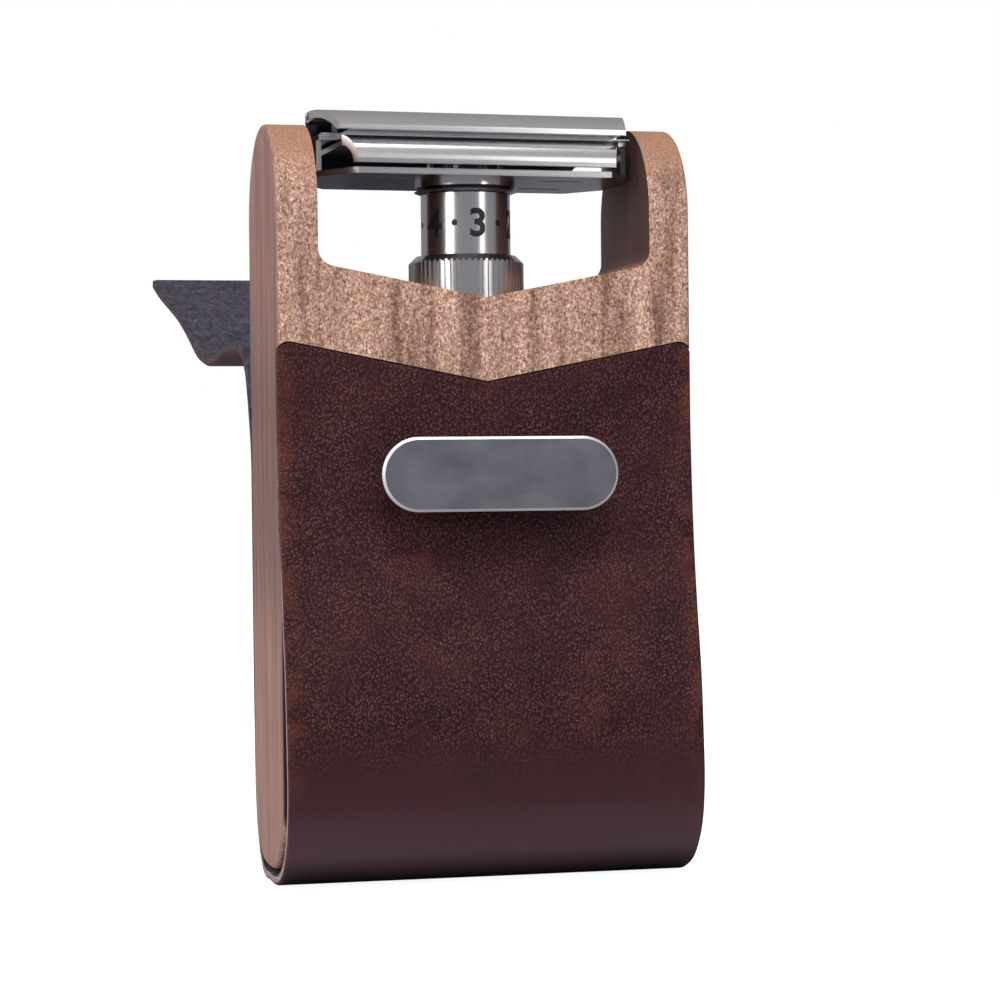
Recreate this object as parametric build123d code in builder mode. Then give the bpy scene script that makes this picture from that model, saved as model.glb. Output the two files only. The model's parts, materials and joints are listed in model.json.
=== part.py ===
from build123d import *
import math
import os

# A travel case for a safety razor. A walnut block with two horns holds the razor in a bore.
# One long strip of leather is let into the block's front, goes round its foot, up its back,
# and on as a free flap that closes over the razor's head and hooks on a turning bar.
# Origin: on the surface that the case stands on, under the razor's axis.
# X runs along the razor's head, the front faces -Y, and +Z is up.

os.makedirs("parts", exist_ok=True)

# Walnut block
block_half_width = 28.05
block_half_depth = 12.25
block_top = 101.5
block_edge_round = 0.5
horn_gap_half = 22.5
window_apex = 77.7
window_slope = 0.196
window_corner_round = 2.4
bore_radius = 6.5
bore_floor = 11.5
counterbore_radius = 8.1
counterbore_floor = 71.4
pad_thickness = 1.4
back_recess_top = 64.0
back_recess_depth_y = 15.0
pocket_gap = 0.12
pocket_foot = 42.6
pocket_foot_y = -12.3
pocket_floor_foot = 60.4

# Leather strip
leather = 1.5
leather_half_width = 28.0
leather_top_half_width = 28.1
leather_apex = 66.5
leather_slope = 0.2
leather_corner_round = 1.7
leather_front_y = -12.15
leather_back_y = 12.9
leather_recess_foot = 60.0
wrap_end = 57.5
glue_gap = 0.06
# Heights on the front where the strip's width changes
leather_narrow_foot = 40.0
leather_narrow_top = 50.0
leather_wide_foot = 62.0
# The strip's front end is trimmed to its outline above this height
trim_foot = 41.0
trim_height = 50.0

# Flap: each run's length, and its direction at rest as an angle above +Y
flap_start = (12.4, 58.0)
flap_runs = {
    "flap_root": (14.0, 67.0),
    "flap_back": (26.0, 6.0),
    "flap_rear_shoulder": (10.0, -6.5),
    "flap_top": (18.0, 4.5),
    "flap_front_shoulder": (9.0, 17.0),
    "flap_bend": (7.0, 18.0),
    "flap_tab": (48.3, 13.0),
}
flap_half_width = 28.0
hinge_gap = 1.1
# The tab's slot is open at the tip. The bar passes through it upright, and locks it lying across
slot_width = 11.0
slot_end_from_hinge = 27.4
tab_corner_round = 1.0

# Clasp bar, turning on a spindle in the block's front
bar_height = 54.3
bar_length = 31.5
bar_width = 9.7
bar_thickness = 3.3
bar_chamfer = 0.35
bar_back_y = -16.7
spindle_radius = 2.0
spindle_clearance = 0.05
spindle_end_y = -7.7
bushing_radius = 3.5
bushing_back_y = -7.5
bushing_front_y = -12.0
spacer_radius = 3.8
spacer_gap = 0.1

# Safety razor: heights up its axis
razor_turn = 3.0
knob_foot = 13.0
knob_top = 21.9
knob_radius = 6.3
knob_spigot_top = 30.0
knob_spigot_radius = 3.12
handle_foot = 22.0
handle_shoulder = 71.7
handle_radius = 6.0
handle_inner_radius = 3.2
grip_teeth = 48
handle_groove = 0.2
knob_groove = 0.25
spigot_radius = 4.45
ring_foot = 71.8
ring_top = 83.95
ring_radius = 7.85
ring_teeth = 60
ring_groove = 0.28
ring_bevel_depth = 1.0
ring_bevel_height = 1.5
barrel_foot = 84.0
barrel_top = 92.3
barrel_radius = 6.1
barrel_inner_radius = 5.5
dial_running_radius = 4.5
cam_top = 87.4
collar_foot = 92.4
collar_radius = 7.0
collar_bore_radius = 3.22
collar_groove = 0.5
# Heights above the collar's foot: its lower rim's bottom, its groove, its upper rim's bottom
collar_steps = (0.35, 0.6, 0.85)
frame_foot = 94.0
frame_top = 94.8
frame_half_length = 21.7
frame_edge_half_length = 17.5
frame_half_depth = 10.8
frame_end_half_depth = 5.0
frame_slot_spacing_x = 24.0
frame_slot_spacing_y = 10.0
frame_slot_length = 6.0
frame_slot_width = 1.1
bracket_x = 21.35
bracket_thickness = 0.7
bracket_depth = 8.4
rod_radius = 1.2
rod_bore_radius = 1.3
rod_foot = 24.0
rod_top = 98.6
stem_radius = 3.15
stem_foot = 84.5

# Safety razor: head
door_half_length = 22.1
door_edge_half_length = 19.8
door_edge_y = 10.1
door_edge_z = 99.85
# Door's profile, as (depth from the middle, height)
door_ridge_y = 0.85
door_ridge_top = 103.1
door_ridge_foot = 102.0
door_under_middle = (5.4, 101.65)
door_lip_inner_y = 9.3
door_lip_top = (9.95, 100.55)
door_over_middle = (5.6, 102.7)
door_end_y = 0.6
door_overlap_y = 2.0
door_pin_y = 0.85
door_pin_z = 102.35
door_pin_radius = 0.35
door_barrel_radius = 0.75
lug_middle_x = 17.6
lug_thickness = 1.2
lug_half_width = 1.6
lug_top = 103.0
platform_foot = 98.9
platform_top = 99.58
platform_length = 38.0
platform_depth = 15.0
platform_end_depth = 10.0
platform_rib_depth = 1.5
platform_rib_height = 1.2
blade_foot = 99.6
blade_thickness = 0.1
blade_half_length = 21.5
blade_half_width = 11.0
blade_tab_half_width = 6.5
blade_shoulder_x = 18.7
blade_slot_width = 1.8
blade_hole_radius = 1.9
guard_top = 98.5
guard_under = 97.8
guard_foot = 95.3
# Guard's edge profile, as (depth from the middle, height)
guard_step = (7.9, 98.5)
guard_lip_foot = (8.0, 99.0)
guard_lip = (8.6, 99.2)
guard_over_middle = (10.8, 97.9)
guard_edge_top = 95.9
guard_edge_inner_y = 10.9
guard_under_middle = (10.0, 97.2)
guard_under_y = 8.3
guard_end_y = 8.6
guard_half_depth = 11.8
guard_half_length = 19.2
guard_edge_half_length = 17.8
leg_x = 4.97
leg_radius = 0.42
leg_foot = 87.9
leg_hole_radius = 0.5

razor_plane = Plane.XY.rotated((0, 0, razor_turn))
razor_section = Plane(origin=(0, 0, 0), x_dir=razor_plane.y_dir, z_dir=razor_plane.x_dir)


def save(part, label):
    """Name a finished piece and write its STEP file."""
    part.label = label
    export_step(part, f"parts/{label}.step")


def ring(outer, inner=0.0):
    """A round section, hollow if it has an inner radius."""
    Circle(outer)
    if inner:
        Circle(inner, mode=Mode.SUBTRACT)


def grooved_ring(outer, inner, teeth, depth):
    """A round section with straight knurling's grooves round its outside."""
    groove = math.pi * outer / teeth
    Circle(outer)
    with PolarLocations(outer, teeth):
        Rectangle(2 * depth, groove, mode=Mode.SUBTRACT)
    if inner:
        Circle(inner, mode=Mode.SUBTRACT)


def tapered_outline(half_length, end_half_depth, edge_half_length, half_depth):
    """A long outline whose four corners are cut off."""
    Polygon(
        (-half_length, -end_half_depth),
        (-edge_half_length, -half_depth),
        (edge_half_length, -half_depth),
        (half_length, -end_half_depth),
        (half_length, end_half_depth),
        (edge_half_length, half_depth),
        (-edge_half_length, half_depth),
        (-half_length, end_half_depth),
        align=None,
    )


def front_outline(gap):
    """The leather's outline on the front, its V top included, wider by a gap."""
    top = leather_apex + leather_slope * leather_top_half_width + gap
    side = leather_top_half_width + gap
    Polygon(
        (-leather_half_width - gap, leather_narrow_foot),
        (-leather_half_width - gap, leather_narrow_top),
        (-side, leather_wide_foot),
        (-side, top),
        (0, leather_apex + gap),
        (side, top),
        (side, leather_wide_foot),
        (leather_half_width + gap, leather_narrow_top),
        (leather_half_width + gap, leather_narrow_foot),
        align=None,
    )


def round_outline(sketch):
    """Round the two top corners of a front outline."""
    corners = sketch.vertices().group_by(Axis.Y)[-1]
    fillet(corners, radius=leather_corner_round)


# Leather round the foot: the outer face, from the front's top down, round and up the back
wrap_front = [(leather_front_y, 75.0), (leather_front_y, leather_recess_foot), (-13.8, 43.0)]
wrap_bend = [
    (-13.8, 43.0),
    (-15.0, 35.5),
    (-16.35, 28.0),
    (-17.1, 20.0),
    (-17.35, 12.7),
    (-16.0, 7.0),
    (-12.6, 2.7),
    (-8.2, 0.6),
    (-4.5, 0.0),
]
wrap_back = [
    (4.5, 0.0),
    (7.2, 1.25),
    (9.5, 3.6),
    (11.2, 6.9),
    (12.1, 10.8),
    (12.45, 15.0),
    (12.75, 24.0),
    (leather_back_y, 34.0),
]
# The block's outline round its foot, from the back to the front
foot_outline = [
    (block_half_depth, 14.5),
    (11.0, 7.5),
    (8.0, 3.6),
    (4.2, 2.1),
    (1.0, 1.85),
    (-2.0, 1.9),
    (-5.0, 2.25),
    (-7.4, 3.15),
    (-9.6, 4.75),
    (-11.2, 6.7),
    (-12.05, 9.4),
    (-block_half_depth, 14.5),
]


def inset(points, amount):
    """Points moved to the left of the way that they run."""
    moved = []
    for i, (y, z) in enumerate(points):
        before = points[max(i - 1, 0)]
        after = points[min(i + 1, len(points) - 1)]
        along_y, along_z = after[0] - before[0], after[1] - before[1]
        length = math.hypot(along_y, along_z)
        moved.append((y - amount * along_z / length, z + amount * along_y / length))
    return moved


with BuildPart() as front_pocket:
    with BuildSketch(Plane.XZ) as pocket_outline:
        front_outline(pocket_gap)
        round_outline(pocket_outline)
    extrude(amount=block_half_depth + 5)
    with BuildSketch(Plane.YZ):
        floor_y = leather_front_y + leather + glue_gap
        Polygon(
            (-block_half_depth - 2, pocket_foot),
            (pocket_foot_y, pocket_foot),
            (floor_y, pocket_floor_foot),
            (floor_y, window_apex),
            (-block_half_depth - 2, window_apex),
            align=None,
        )
    extrude(amount=block_half_width + 1, both=True, mode=Mode.INTERSECT)

with BuildPart() as front_prism:
    with BuildSketch(Plane.XZ) as leather_outline:
        front_outline(0)
        round_outline(leather_outline)
    extrude(amount=30)

# What is trimmed off the strip's front end
with BuildPart() as front_trim:
    with BuildSketch(Plane.XZ):
        with Locations((0, trim_foot + trim_height / 2)):
            Rectangle(3 * leather_half_width, trim_height)
    extrude(amount=25)
    add(front_prism.part, mode=Mode.SUBTRACT)

with BuildPart() as walnut_block:
    straight_top = block_top - block_half_depth
    with BuildSketch(Plane.YZ):
        with BuildLine():
            Line(foot_outline[-1], (-block_half_depth, straight_top))
            ThreePointArc(
                (-block_half_depth, straight_top), (0, block_top), (block_half_depth, straight_top)
            )
            Line((block_half_depth, straight_top), foot_outline[0])
            Spline(*foot_outline)
        make_face()
    extrude(amount=block_half_width, both=True)
    side_faces = walnut_block.faces().sort_by(Axis.X)
    fillet(side_faces[0].edges() + side_faces[-1].edges(), radius=block_edge_round)
    # Shallow recess for the leather up the back and round the foot
    seat = inset(wrap_back, leather + glue_gap)
    with BuildSketch(Plane.YZ):
        with BuildLine():
            Spline(*seat)
            Polyline(
                seat[-1],
                (seat[-1][0], back_recess_top),
                (back_recess_depth_y, back_recess_top),
                (back_recess_depth_y, -1.0),
                (seat[0][0], -1.0),
                seat[0],
            )
        make_face()
    extrude(amount=block_half_width + 1, both=True, mode=Mode.SUBTRACT)
    # Window between the horns, with a V floor
    with BuildSketch(Plane.XZ) as window:
        corner = window_apex + window_slope * horn_gap_half
        Polygon(
            (-horn_gap_half, block_top + 5),
            (-horn_gap_half, corner),
            (0, window_apex),
            (horn_gap_half, corner),
            (horn_gap_half, block_top + 5),
            align=None,
        )
        fillet(window.vertices().group_by(Axis.Y)[1], radius=window_corner_round)
    extrude(amount=block_half_depth + 5, both=True, mode=Mode.SUBTRACT)
    # Bore for the handle, wider at its mouth for the dial's grip ring
    with BuildSketch(Plane.XY.offset(bore_floor)):
        Circle(bore_radius)
    extrude(amount=block_top, mode=Mode.SUBTRACT)
    with BuildSketch(Plane.XY.offset(counterbore_floor)):
        Circle(counterbore_radius)
    extrude(amount=block_top, mode=Mode.SUBTRACT)
    add(front_pocket.part, mode=Mode.SUBTRACT)
    # Hole for the clasp's bushing
    with BuildSketch(Plane.XZ.offset(-bushing_back_y)):
        with Locations((0, bar_height)):
            Circle(bushing_radius)
    extrude(amount=10, mode=Mode.SUBTRACT)
save(walnut_block.part, "walnut_block")

with BuildPart() as felt_pad:
    with BuildSketch(Plane.XY.offset(bore_floor)):
        Circle(bore_radius - 0.1)
    extrude(amount=pad_thickness)
save(felt_pad.part, "felt_pad")

with BuildPart() as leather_wrap:
    inner_front = [(y + leather, z) for y, z in wrap_front]
    inner_front[-1] = inset(wrap_bend, leather)[0]
    with BuildSketch(Plane.YZ):
        with BuildLine():
            Polyline(*wrap_front)
            Spline(*wrap_bend)
            Line(wrap_bend[-1], wrap_back[0])
            Spline(*wrap_back)
            Line(wrap_back[-1], (leather_back_y, wrap_end))
            Line((leather_back_y, wrap_end), (leather_back_y - leather, wrap_end))
            inner_back = inset(wrap_back, leather)
            inner_back[-1] = (leather_back_y - leather, wrap_back[-1][1])
            inner_bend = inset(wrap_bend, leather)
            Line((leather_back_y - leather, wrap_end), inner_back[-1])
            Spline(*reversed(inner_back))
            Line(inner_back[0], inner_bend[-1])
            Spline(*reversed(inner_bend))
            Polyline(*reversed(inner_front))
            Line(inner_front[0], wrap_front[0])
        make_face()
    extrude(amount=leather_half_width, both=True)
    add(front_trim.part, mode=Mode.SUBTRACT)
    with BuildSketch(Plane.XZ):
        with Locations((0, bar_height)):
            Circle(spacer_radius + spacer_gap)
    extrude(amount=block_half_depth + 10, mode=Mode.SUBTRACT)
save(leather_wrap.part, "leather_wrap")

# Flap: flat runs of the same strip, hinged end to end across the middle of its thickness
run_start = flap_start
for name, (length, angle) in flap_runs.items():
    along = (math.cos(math.radians(angle)), math.sin(math.radians(angle)))
    run_end = (run_start[0] + length * along[0], run_start[1] + length * along[1])
    run_plane = Plane(
        origin=(0, *run_start), x_dir=(1, 0, 0), z_dir=(0, -along[1], along[0])
    )
    is_tab = name == "flap_tab"
    clear_end = 0.0 if is_tab else hinge_gap / 2
    with BuildPart() as flap_run:
        with BuildSketch(run_plane.offset(-leather / 2)) as outline:
            with Locations((0, (length + hinge_gap / 2 - clear_end) / 2)):
                Rectangle(2 * flap_half_width, length - hinge_gap / 2 - clear_end)
            if is_tab:
                fillet(outline.vertices().group_by(Axis.Y)[-1], radius=tab_corner_round)
                with Locations((0, slot_end_from_hinge)):
                    Circle(slot_width / 2, mode=Mode.SUBTRACT)
                with Locations((0, (slot_end_from_hinge + length) / 2)):
                    Rectangle(slot_width, length - slot_end_from_hinge, mode=Mode.SUBTRACT)
        extrude(amount=leather)
    save(flap_run.part, name)
    run_start = run_end

with BuildPart() as clasp_bar:
    with BuildSketch(Plane.XZ.offset(-bar_back_y)):
        with Locations((0, bar_height)):
            SlotOverall(bar_length, bar_width)
    extrude(amount=bar_thickness)
    chamfer(clasp_bar.faces().sort_by(Axis.Y)[0].edges(), length=bar_chamfer)
save(clasp_bar.part, "clasp_bar")

with BuildPart() as clasp_spindle:
    with BuildSketch(Plane.XZ.offset(-bar_back_y)):
        with Locations((0, bar_height)):
            Circle(spindle_radius)
    extrude(amount=bar_back_y - spindle_end_y)
save(clasp_spindle.part, "clasp_spindle")

with BuildPart() as clasp_bushing:
    with BuildSketch(Plane.XZ.offset(-bushing_back_y)):
        with Locations((0, bar_height)):
            Circle(bushing_radius)
    extrude(amount=bushing_back_y - bushing_front_y)
    with BuildSketch(Plane.XZ.offset(-spindle_end_y - spindle_clearance)):
        with Locations((0, bar_height)):
            Circle(spindle_radius + spindle_clearance)
    extrude(amount=10, both=True, mode=Mode.SUBTRACT)
save(clasp_bushing.part, "clasp_bushing")

with BuildPart() as clasp_spacer:
    with BuildSketch(Plane.XZ.offset(-bushing_front_y)):
        with Locations((0, bar_height)):
            Circle(spacer_radius)
            Circle(spindle_radius + spindle_clearance, mode=Mode.SUBTRACT)
    extrude(amount=bushing_front_y - bar_back_y - spacer_gap)
save(clasp_spacer.part, "clasp_spacer")

# Razor: handle, dial and knob
with BuildPart() as handle_tube:
    with BuildSketch(razor_plane.offset(handle_foot)):
        grooved_ring(handle_radius, handle_inner_radius, grip_teeth, handle_groove)
    extrude(amount=handle_shoulder - handle_foot)
    with BuildSketch(razor_plane.offset(handle_shoulder)):
        ring(spigot_radius, handle_inner_radius)
    extrude(amount=barrel_top - handle_shoulder)
save(handle_tube.part, "handle_tube")

with BuildPart() as twist_knob:
    with BuildSketch(razor_plane.offset(knob_foot)):
        grooved_ring(knob_radius, 0.0, grip_teeth, knob_groove)
    extrude(amount=knob_top - knob_foot)
    with BuildSketch(razor_plane.offset(knob_top)):
        ring(knob_spigot_radius)
    extrude(amount=knob_spigot_top - knob_top)
    with BuildSketch(razor_plane.offset(rod_foot - 1)):
        Circle(rod_bore_radius)
    extrude(amount=20, mode=Mode.SUBTRACT)
save(twist_knob.part, "twist_knob")

with BuildPart() as push_rod:
    with BuildSketch(razor_plane.offset(rod_foot)):
        ring(rod_radius)
    extrude(amount=rod_top - rod_foot)
save(push_rod.part, "push_rod")

with BuildPart() as knurled_ring:
    with BuildSketch(razor_plane.offset(ring_foot)):
        grooved_ring(ring_radius, dial_running_radius, ring_teeth, ring_groove)
    extrude(amount=ring_top - ring_foot)
    with BuildSketch(razor_section):
        Polygon(
            (ring_radius - ring_bevel_depth, ring_top),
            (ring_radius + ring_bevel_depth / 2, ring_top),
            (ring_radius + ring_bevel_depth / 2, ring_top - ring_bevel_height),
            align=None,
        )
    revolve(axis=Axis.Z, mode=Mode.SUBTRACT)
save(knurled_ring.part, "knurled_ring")

with BuildPart() as dial_barrel:
    with BuildSketch(razor_plane.offset(barrel_foot)):
        ring(barrel_radius, barrel_inner_radius)
    extrude(amount=barrel_top - barrel_foot)
save(dial_barrel.part, "dial_barrel")

with BuildPart() as dial_cam:
    with BuildSketch(razor_plane.offset(barrel_foot)):
        ring(barrel_inner_radius, dial_running_radius)
    extrude(amount=cam_top - barrel_foot)
save(dial_cam.part, "dial_cam")

with BuildPart() as neck_collar:
    with BuildSketch(razor_section):
        Polygon(
            (collar_bore_radius, collar_foot),
            (barrel_radius, collar_foot),
            (collar_radius, collar_foot + collar_steps[0]),
            (collar_radius - collar_groove, collar_foot + collar_steps[1]),
            (collar_radius, collar_foot + collar_steps[2]),
            (collar_radius, frame_foot),
            (collar_bore_radius, frame_foot),
            align=None,
        )
    revolve(axis=Axis.Z)
    with BuildSketch(razor_plane.offset(collar_foot)):
        with Locations((-leg_x, 0), (leg_x, 0)):
            Circle(leg_hole_radius)
    extrude(amount=5, mode=Mode.SUBTRACT)
save(neck_collar.part, "neck_collar")

# Razor: head
with BuildPart() as head_frame:
    with BuildSketch(razor_plane.offset(frame_foot)):
        tapered_outline(
            frame_half_length, frame_end_half_depth, frame_edge_half_length, frame_half_depth
        )
        Circle(collar_bore_radius, mode=Mode.SUBTRACT)
        with Locations((-leg_x, 0), (leg_x, 0)):
            Circle(leg_hole_radius, mode=Mode.SUBTRACT)
        with GridLocations(frame_slot_spacing_x, frame_slot_spacing_y, 2, 2):
            SlotOverall(frame_slot_length, frame_slot_width, mode=Mode.SUBTRACT)
    extrude(amount=frame_top - frame_foot)
    with BuildSketch(razor_plane.offset(frame_top)):
        with Locations((-bracket_x, 0), (bracket_x, 0)):
            Rectangle(bracket_thickness, bracket_depth)
    extrude(amount=platform_foot - frame_top)
save(head_frame.part, "head_frame")

with BuildPart() as blade_platform:
    with BuildSketch(razor_plane.offset(stem_foot)):
        ring(stem_radius)
    extrude(amount=platform_foot - stem_foot)
    with BuildSketch(razor_plane.offset(platform_foot)):
        Rectangle(platform_length, platform_depth)
        Rectangle(2 * blade_half_length, platform_end_depth)
    extrude(amount=platform_top - platform_foot)
    with BuildSketch(razor_plane.offset(platform_top)):
        Rectangle(2 * (lug_middle_x - lug_thickness), platform_rib_depth)
    extrude(amount=platform_rib_height)
    with BuildSketch(razor_plane.offset(platform_top)):
        with Locations((-lug_middle_x, 0), (lug_middle_x, 0)):
            Rectangle(lug_thickness, 2 * lug_half_width)
    extrude(amount=lug_top - platform_top)
    with BuildSketch(razor_section):
        with Locations((-door_pin_y, door_pin_z), (door_pin_y, door_pin_z)):
            Circle(door_pin_radius)
    extrude(amount=door_half_length, both=True, mode=Mode.SUBTRACT)
    with BuildSketch(razor_plane.offset(stem_foot)):
        Circle(rod_bore_radius)
    extrude(amount=30, mode=Mode.SUBTRACT)
save(blade_platform.part, "blade_platform")

with BuildPart() as razor_blade:
    with BuildSketch(razor_plane.offset(blade_foot)):
        Rectangle(2 * blade_half_length, 2 * blade_tab_half_width)
        Rectangle(2 * blade_shoulder_x, 2 * blade_half_width)
        SlotOverall(2 * (lug_middle_x + 1), blade_slot_width, mode=Mode.SUBTRACT)
        with Locations((-lug_middle_x, 0), (0, 0), (lug_middle_x, 0)):
            Circle(blade_hole_radius, mode=Mode.SUBTRACT)
    extrude(amount=blade_thickness)
save(razor_blade.part, "razor_blade")

for name, side in (("front_door_pin", -1), ("rear_door_pin", 1)):
    with BuildPart() as door_pin:
        with BuildSketch(razor_section):
            with Locations((side * door_pin_y, door_pin_z)):
                Circle(door_pin_radius)
        extrude(amount=door_half_length - 0.5, both=True)
    save(door_pin.part, name)

for name, side in (("front_door", -1), ("rear_door", 1)):
    ridge_top = (side * door_ridge_y, door_ridge_top)
    ridge_foot = (side * door_ridge_y, door_ridge_foot)
    lip_inner = (side * door_lip_inner_y, door_edge_z)
    lip_outer = (side * door_edge_y, door_edge_z)
    lip_top = (side * door_lip_top[0], door_lip_top[1])
    under_middle = (side * door_under_middle[0], door_under_middle[1])
    over_middle = (side * door_over_middle[0], door_over_middle[1])
    with BuildPart() as door:
        with BuildSketch(razor_section):
            with BuildLine():
                Line(ridge_top, ridge_foot)
                ThreePointArc(ridge_foot, under_middle, lip_inner)
                Line(lip_inner, lip_outer)
                Line(lip_outer, lip_top)
                ThreePointArc(lip_top, over_middle, ridge_top)
            make_face()
            with Locations((side * door_pin_y, door_pin_z)):
                Circle(door_barrel_radius)
        extrude(amount=door_half_length, both=True)
        # The ends taper from the ridge to the lip
        with BuildSketch(razor_plane.offset(door_edge_z - 1)):
            Polygon(
                (-door_half_length, -side * door_overlap_y),
                (-door_half_length, side * door_end_y),
                (-door_edge_half_length, side * door_edge_y),
                (door_edge_half_length, side * door_edge_y),
                (door_half_length, side * door_end_y),
                (door_half_length, -side * door_overlap_y),
                align=None,
            )
        extrude(amount=6, mode=Mode.INTERSECT)
        with BuildSketch(razor_section):
            with Locations((side * door_pin_y, door_pin_z)):
                Circle(door_pin_radius + 0.04)
        extrude(amount=door_half_length + 1, both=True, mode=Mode.SUBTRACT)
        with BuildSketch(razor_plane.offset(door_edge_z)):
            with Locations((-lug_middle_x, 0), (lug_middle_x, 0)):
                Rectangle(lug_thickness + 0.3, 2 * lug_half_width + 0.7)
        extrude(amount=6, mode=Mode.SUBTRACT)
    save(door.part, name)

with BuildPart() as guard_plate:
    edge_top = (guard_half_depth, guard_edge_top)
    edge_inner = (guard_edge_inner_y, guard_foot)
    under_edge = (guard_under_y, guard_under)
    with BuildSketch(razor_section):
        with BuildLine():
            Polyline((0, guard_top), guard_step, guard_lip_foot, guard_lip)
            ThreePointArc(guard_lip, guard_over_middle, edge_top)
            Polyline(edge_top, (guard_half_depth, guard_foot), edge_inner)
            ThreePointArc(edge_inner, guard_under_middle, under_edge)
            Polyline(under_edge, (0, guard_under), (0, guard_top))
        make_face()
        mirror(about=Plane.YZ)
    extrude(amount=guard_half_length, both=True)
    with BuildSketch(razor_plane.offset(guard_foot)):
        tapered_outline(
            guard_half_length, guard_end_y, guard_edge_half_length, guard_half_depth
        )
    extrude(amount=5, mode=Mode.INTERSECT)
    with BuildSketch(razor_plane.offset(guard_foot)):
        Circle(stem_radius + 0.4)
    extrude(amount=5, mode=Mode.SUBTRACT)
save(guard_plate.part, "guard_plate")

with BuildPart() as guard_legs:
    with BuildSketch(razor_plane.offset(leg_foot)):
        with Locations((-leg_x, 0), (leg_x, 0)):
            Circle(leg_radius)
    extrude(amount=guard_under - leg_foot)
save(guard_legs.part, "guard_legs")
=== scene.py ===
import json
import math

import bmesh
import bpy
import numpy as np
from mathutils import Matrix, Vector


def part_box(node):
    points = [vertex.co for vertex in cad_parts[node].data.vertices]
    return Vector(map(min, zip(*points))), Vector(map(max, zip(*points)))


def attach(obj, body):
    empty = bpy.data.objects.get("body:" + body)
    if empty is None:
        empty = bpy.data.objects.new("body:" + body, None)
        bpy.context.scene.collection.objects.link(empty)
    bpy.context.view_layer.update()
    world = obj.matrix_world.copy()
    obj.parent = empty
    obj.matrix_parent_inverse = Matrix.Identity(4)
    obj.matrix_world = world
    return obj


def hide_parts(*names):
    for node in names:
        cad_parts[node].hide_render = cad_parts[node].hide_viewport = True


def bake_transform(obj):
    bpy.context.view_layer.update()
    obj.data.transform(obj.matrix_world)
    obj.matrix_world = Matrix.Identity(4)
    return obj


# A walnut travel case with a safety razor, wrapped by one strip of leather whose free end is a flap.
# The wood and the metal are the CAD nodes with procedural materials. The leather is built here as one
# continuous curved strip, cut where the flap's joints need it. Lengths are in millimetres until a mesh
# is made, and x, y, z are the frame's axes.

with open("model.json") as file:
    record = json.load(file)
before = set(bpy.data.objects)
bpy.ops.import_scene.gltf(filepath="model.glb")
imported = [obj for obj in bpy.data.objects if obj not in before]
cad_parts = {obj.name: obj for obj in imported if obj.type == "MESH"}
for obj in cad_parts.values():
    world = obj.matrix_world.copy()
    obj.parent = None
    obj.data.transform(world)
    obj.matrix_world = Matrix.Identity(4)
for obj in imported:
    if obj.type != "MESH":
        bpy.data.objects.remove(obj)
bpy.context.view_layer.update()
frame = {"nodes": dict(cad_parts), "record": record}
nodes = frame["nodes"]
MM = 0.001

# The leather strip
THICK = 1.5
HALF_WIDTH = 28.0
TOP_HALF_WIDTH = 28.1
# The strip narrows below this height on the front, over this much height
WIDE_FOOT = 62.0
NARROWING = 12.0
V_APEX = 66.57
V_SLOPE = 0.2
TOP_CORNER = 1.7
EDGE_ROUND = 0.35
# Grid lines: their spacing, and their distances from a cut edge beyond its rounding
ROW_STEP = 0.7
COLUMN_STEP = 1.6
SIDE_LINES = [0.55, 0.8, 1.1, 1.45, TOP_CORNER + 0.35, 2.6]
TOP_LINES = [0.6, 0.9]
TAB_LINES = [0.6, 1.2, 2.2, 3.6, 5.4, 7.4]
SLOT_LINES = [0.6, 1.0]
UPPER_SHARE_STEP = 0.08
SHARP_ANGLE = math.radians(50)
MERGE_DISTANCE = 1e-7
# A route's smooth curve: samples from one given point to the next, and the even steps kept from them
CURVE_SAMPLES = 24
WRAP_STEP = 0.5
FLAP_STEP = 0.25
# The materials' ramps along the strip run over this length
RAMP_LENGTH = 200.0

# The fixed part's grain side, (y, z), from above its front end, down, round the foot and up the back
WRAP_ROUTE = [
    (-12.15, 76.0), (-12.15, 71.0), (-12.15, 66.0), (-12.2, 61.0), (-12.65, 55.0), (-13.22, 49.0),
    (-13.85, 43.0), (-15.0, 35.5), (-16.35, 28.0), (-17.1, 20.0), (-17.35, 12.7), (-16.0, 7.0),
    (-12.6, 2.7), (-8.2, 0.6), (-4.5, 0.0), (0.0, 0.0), (4.2, 0.02), (7.2, 1.25), (9.5, 3.6),
    (11.2, 6.9), (12.1, 10.8), (12.45, 15.0), (12.75, 24.0), (12.9, 34.0), (12.9, 43.0), (12.9, 50.0),
    (12.9, 52.0),
]
# Where the fixed part ends, up the back: its height, and the middle line's y
STRIP_END = 50.0
BACK_MIDDLE_Y = 12.15

# The free part's middle line, (y, z), from the back of the block out to the tip
FLAP_ROUTE = [
    (12.15, 46.0), (12.15, 50.0), (12.15, 54.0), (12.35, 57.1), (13.1, 60.1), (14.25, 63.0),
    (15.55, 66.0), (17.3, 68.95), (19.8, 71.1), (23.9, 72.45), (30.0, 73.05), (37.0, 73.15), (43.7, 72.9),
    (49.0, 72.45), (53.7, 72.2), (58.5, 72.3), (64.5, 73.0), (71.6, 74.3), (80.2, 76.9), (86.9, 78.9),
    (97.0, 81.5), (108.0, 83.8), (119.0, 86.0), (127.0, 87.8), (133.2, 89.4), (136.0, 90.2),
]
# The flap's hinges: the body before, the body after, and (y, z)
FLAP_HINGES = [
    ("case", "flap_root", 12.4, 58.0),
    ("flap_root", "flap_back", 17.87, 70.89),
    ("flap_back", "flap_rear_shoulder", 43.73, 73.6),
    ("flap_rear_shoulder", "flap_top", 53.66, 72.47),
    ("flap_top", "flap_front_shoulder", 71.61, 73.89),
    ("flap_front_shoulder", "flap_bend", 80.21, 76.52),
    ("flap_bend", "flap_tab", 86.87, 78.68),
]
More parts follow.
